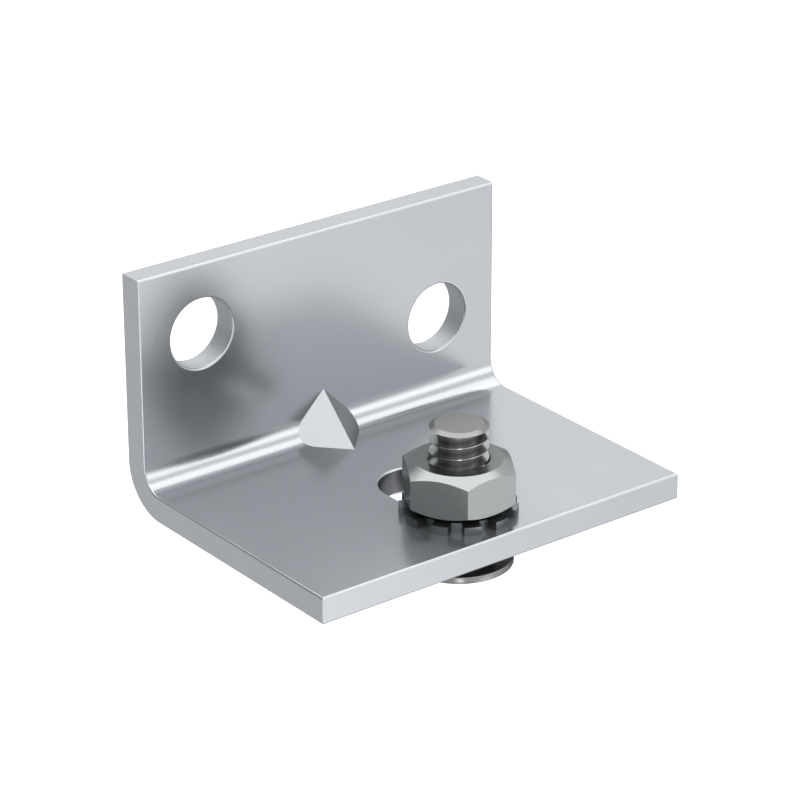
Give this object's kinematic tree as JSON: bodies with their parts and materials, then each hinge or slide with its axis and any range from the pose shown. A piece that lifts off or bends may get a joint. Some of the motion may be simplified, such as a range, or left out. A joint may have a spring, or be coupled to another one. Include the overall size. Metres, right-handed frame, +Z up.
{
  "type": "angle bracket",
  "caption": "Folded steel angle bracket with corner gusset, two wall holes and a slot that holds a bolt, toothed washer and hex nut.",
  "frame": {"origin": "on the wall face, midway between the two wall holes", "axes": "+Y into the wall, +X along the fold (to the right seen from the front), +Z up; the plate reaches out along -Y, 20 mm below the origin at its underside"},
  "size_m": [0.06, 0.044, 0.0386],
  "materials": {
    "plated_steel": "smooth satin zinc plating on folded strip",
    "bolt_steel": "plain steel, half gloss, slightly warm",
    "spring_steel": "dark spring steel",
    "nut_steel": "plain steel, half gloss"
  },
  "bodies": {
    "bracket": {"bracket": "plated_steel"},
    "washer": {"toothed_washer": "spring_steel"},
    "nut": {"hex_nut": "nut_steel"},
    "bolt": {"rail_bolt": "bolt_steel"}
  },
  "joints": [
    {"name": "slot_slide", "type": "slide", "parent": "bracket", "child": "washer", "axis": [0, 1, 0], "range_m": [-0.0008, 0.0108]},
    {"name": "nut_turn", "type": "hinge", "parent": "washer", "child": "nut", "pos_m": [-0.0005, -0.0345, -0.01175], "axis": [0, 0, -1], "range_deg": [-1080, 540]},
    {"name": "bolt_lift", "type": "slide", "parent": "washer", "child": "bolt", "axis": [0, 0, 1], "range_m": [-0.0048, 0.0024]}
  ],
  "couplings": [
    {"joint": "bolt_lift", "follows": "nut_turn", "m_per_rad": 0.00025465}
  ]
}
